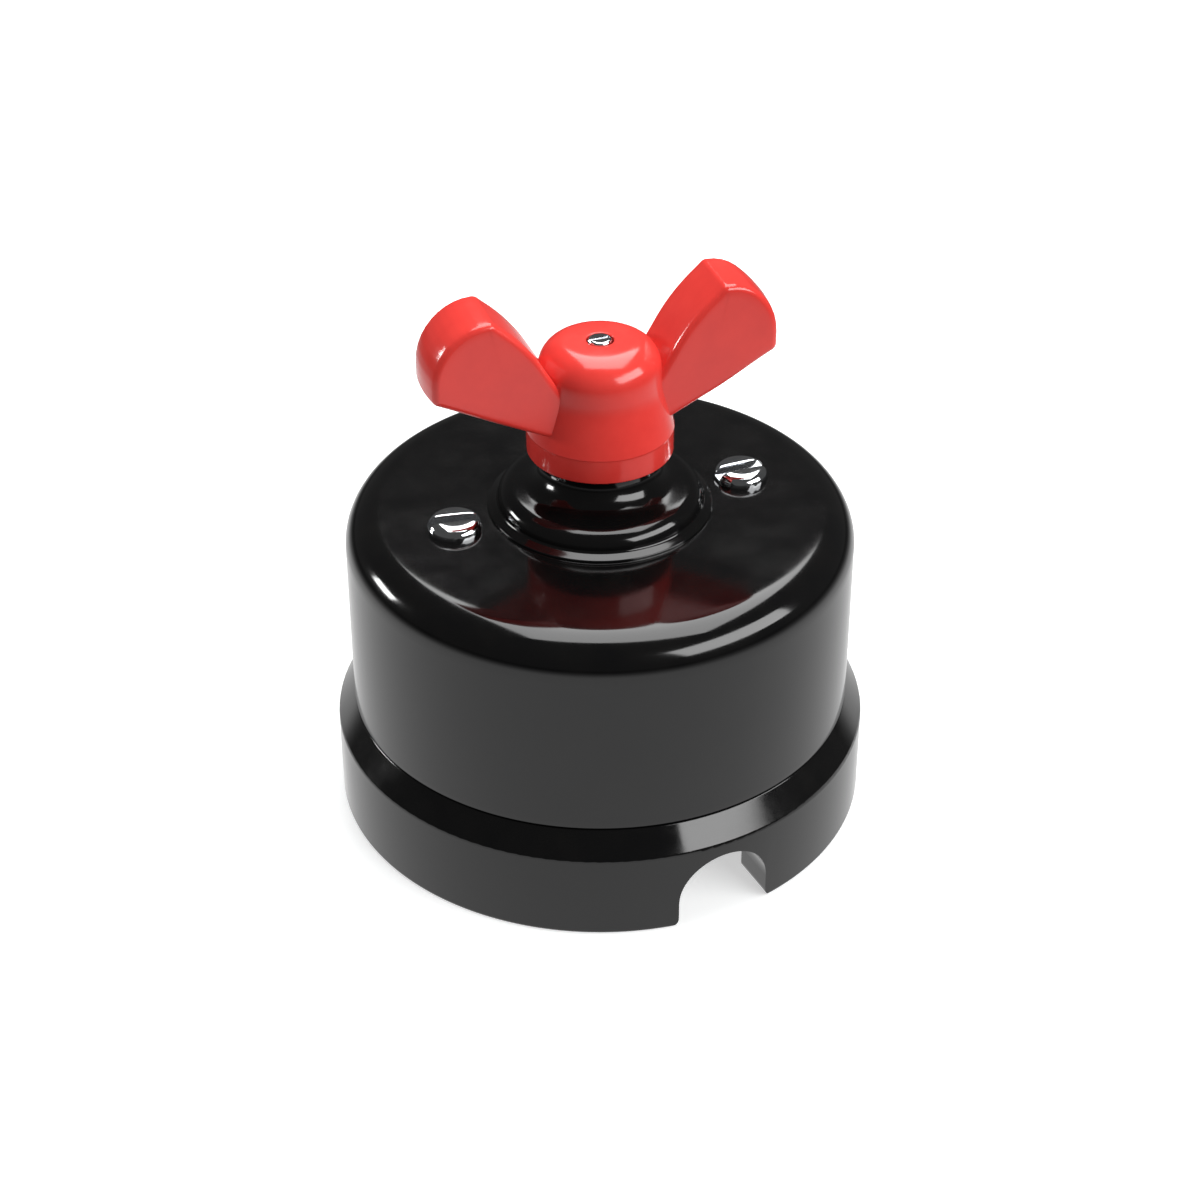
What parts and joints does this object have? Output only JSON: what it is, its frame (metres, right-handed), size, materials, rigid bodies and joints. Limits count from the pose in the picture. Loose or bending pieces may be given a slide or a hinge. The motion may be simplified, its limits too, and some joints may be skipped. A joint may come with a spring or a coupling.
{
  "type": "porcelain rotary switch",
  "caption": "Surface-mounted rotary light switch: black glazed drum cover on a flanged porcelain base with a cable notch, turned by a red two-winged knob.",
  "frame": {"origin": "centre of the base's wall face, on the knob's axis", "axes": "+Z out of the wall along the knob's axis, X along the knob's wings at rest and through the two cover screws, the cable notch opening towards -Y"},
  "size_m": [0.072, 0.072, 0.0749],
  "materials": {
    "black_porcelain": "gloss",
    "red_glaze": "gloss",
    "chromed_screw": "polished",
    "brass": "satin",
    "bronze_strip": "satin",
    "zinc_steel": "satin",
    "spring_steel": "satin",
    "spindle_steel": "satin",
    "brown_phenolic": "semi-gloss"
  },
  "bodies": {
    "housing": {"base": "black_porcelain", "cover": "black_porcelain", "cover_screws": "chromed_screw", "cover_pillars": "brass", "pillar_screws": "zinc_steel", "foot_bearing": "brass", "top_bearing": "brass", "yoke": "zinc_steel", "yoke_screws": "zinc_steel", "yoke_nuts": "zinc_steel", "line_contact": "brass", "load_contact": "brass", "contact_screws": "zinc_steel", "terminal_screws": "zinc_steel", "click_spring_left": "spring_steel", "click_spring_right": "spring_steel"},
    "rotor_group": {"spindle": "spindle_steel", "rotor": "brown_phenolic", "contact_bridge": "bronze_strip", "bridge_rivets": "brass", "click_cam": "brass", "cam_pin": "spindle_steel", "thrust_washer": "zinc_steel", "retaining_ring": "spring_steel", "knob": "red_glaze", "knob_insert": "brass", "knob_screw": "chromed_screw"}
  },
  "joints": [
    {"name": "knob_turn", "type": "hinge", "parent": "housing", "child": "rotor_group", "pos_m": [0, 0, 0.0522], "axis": [0, 0, 1], "continuous": true, "deforming": ["click_spring_left", "click_spring_right"]}
  ]
}
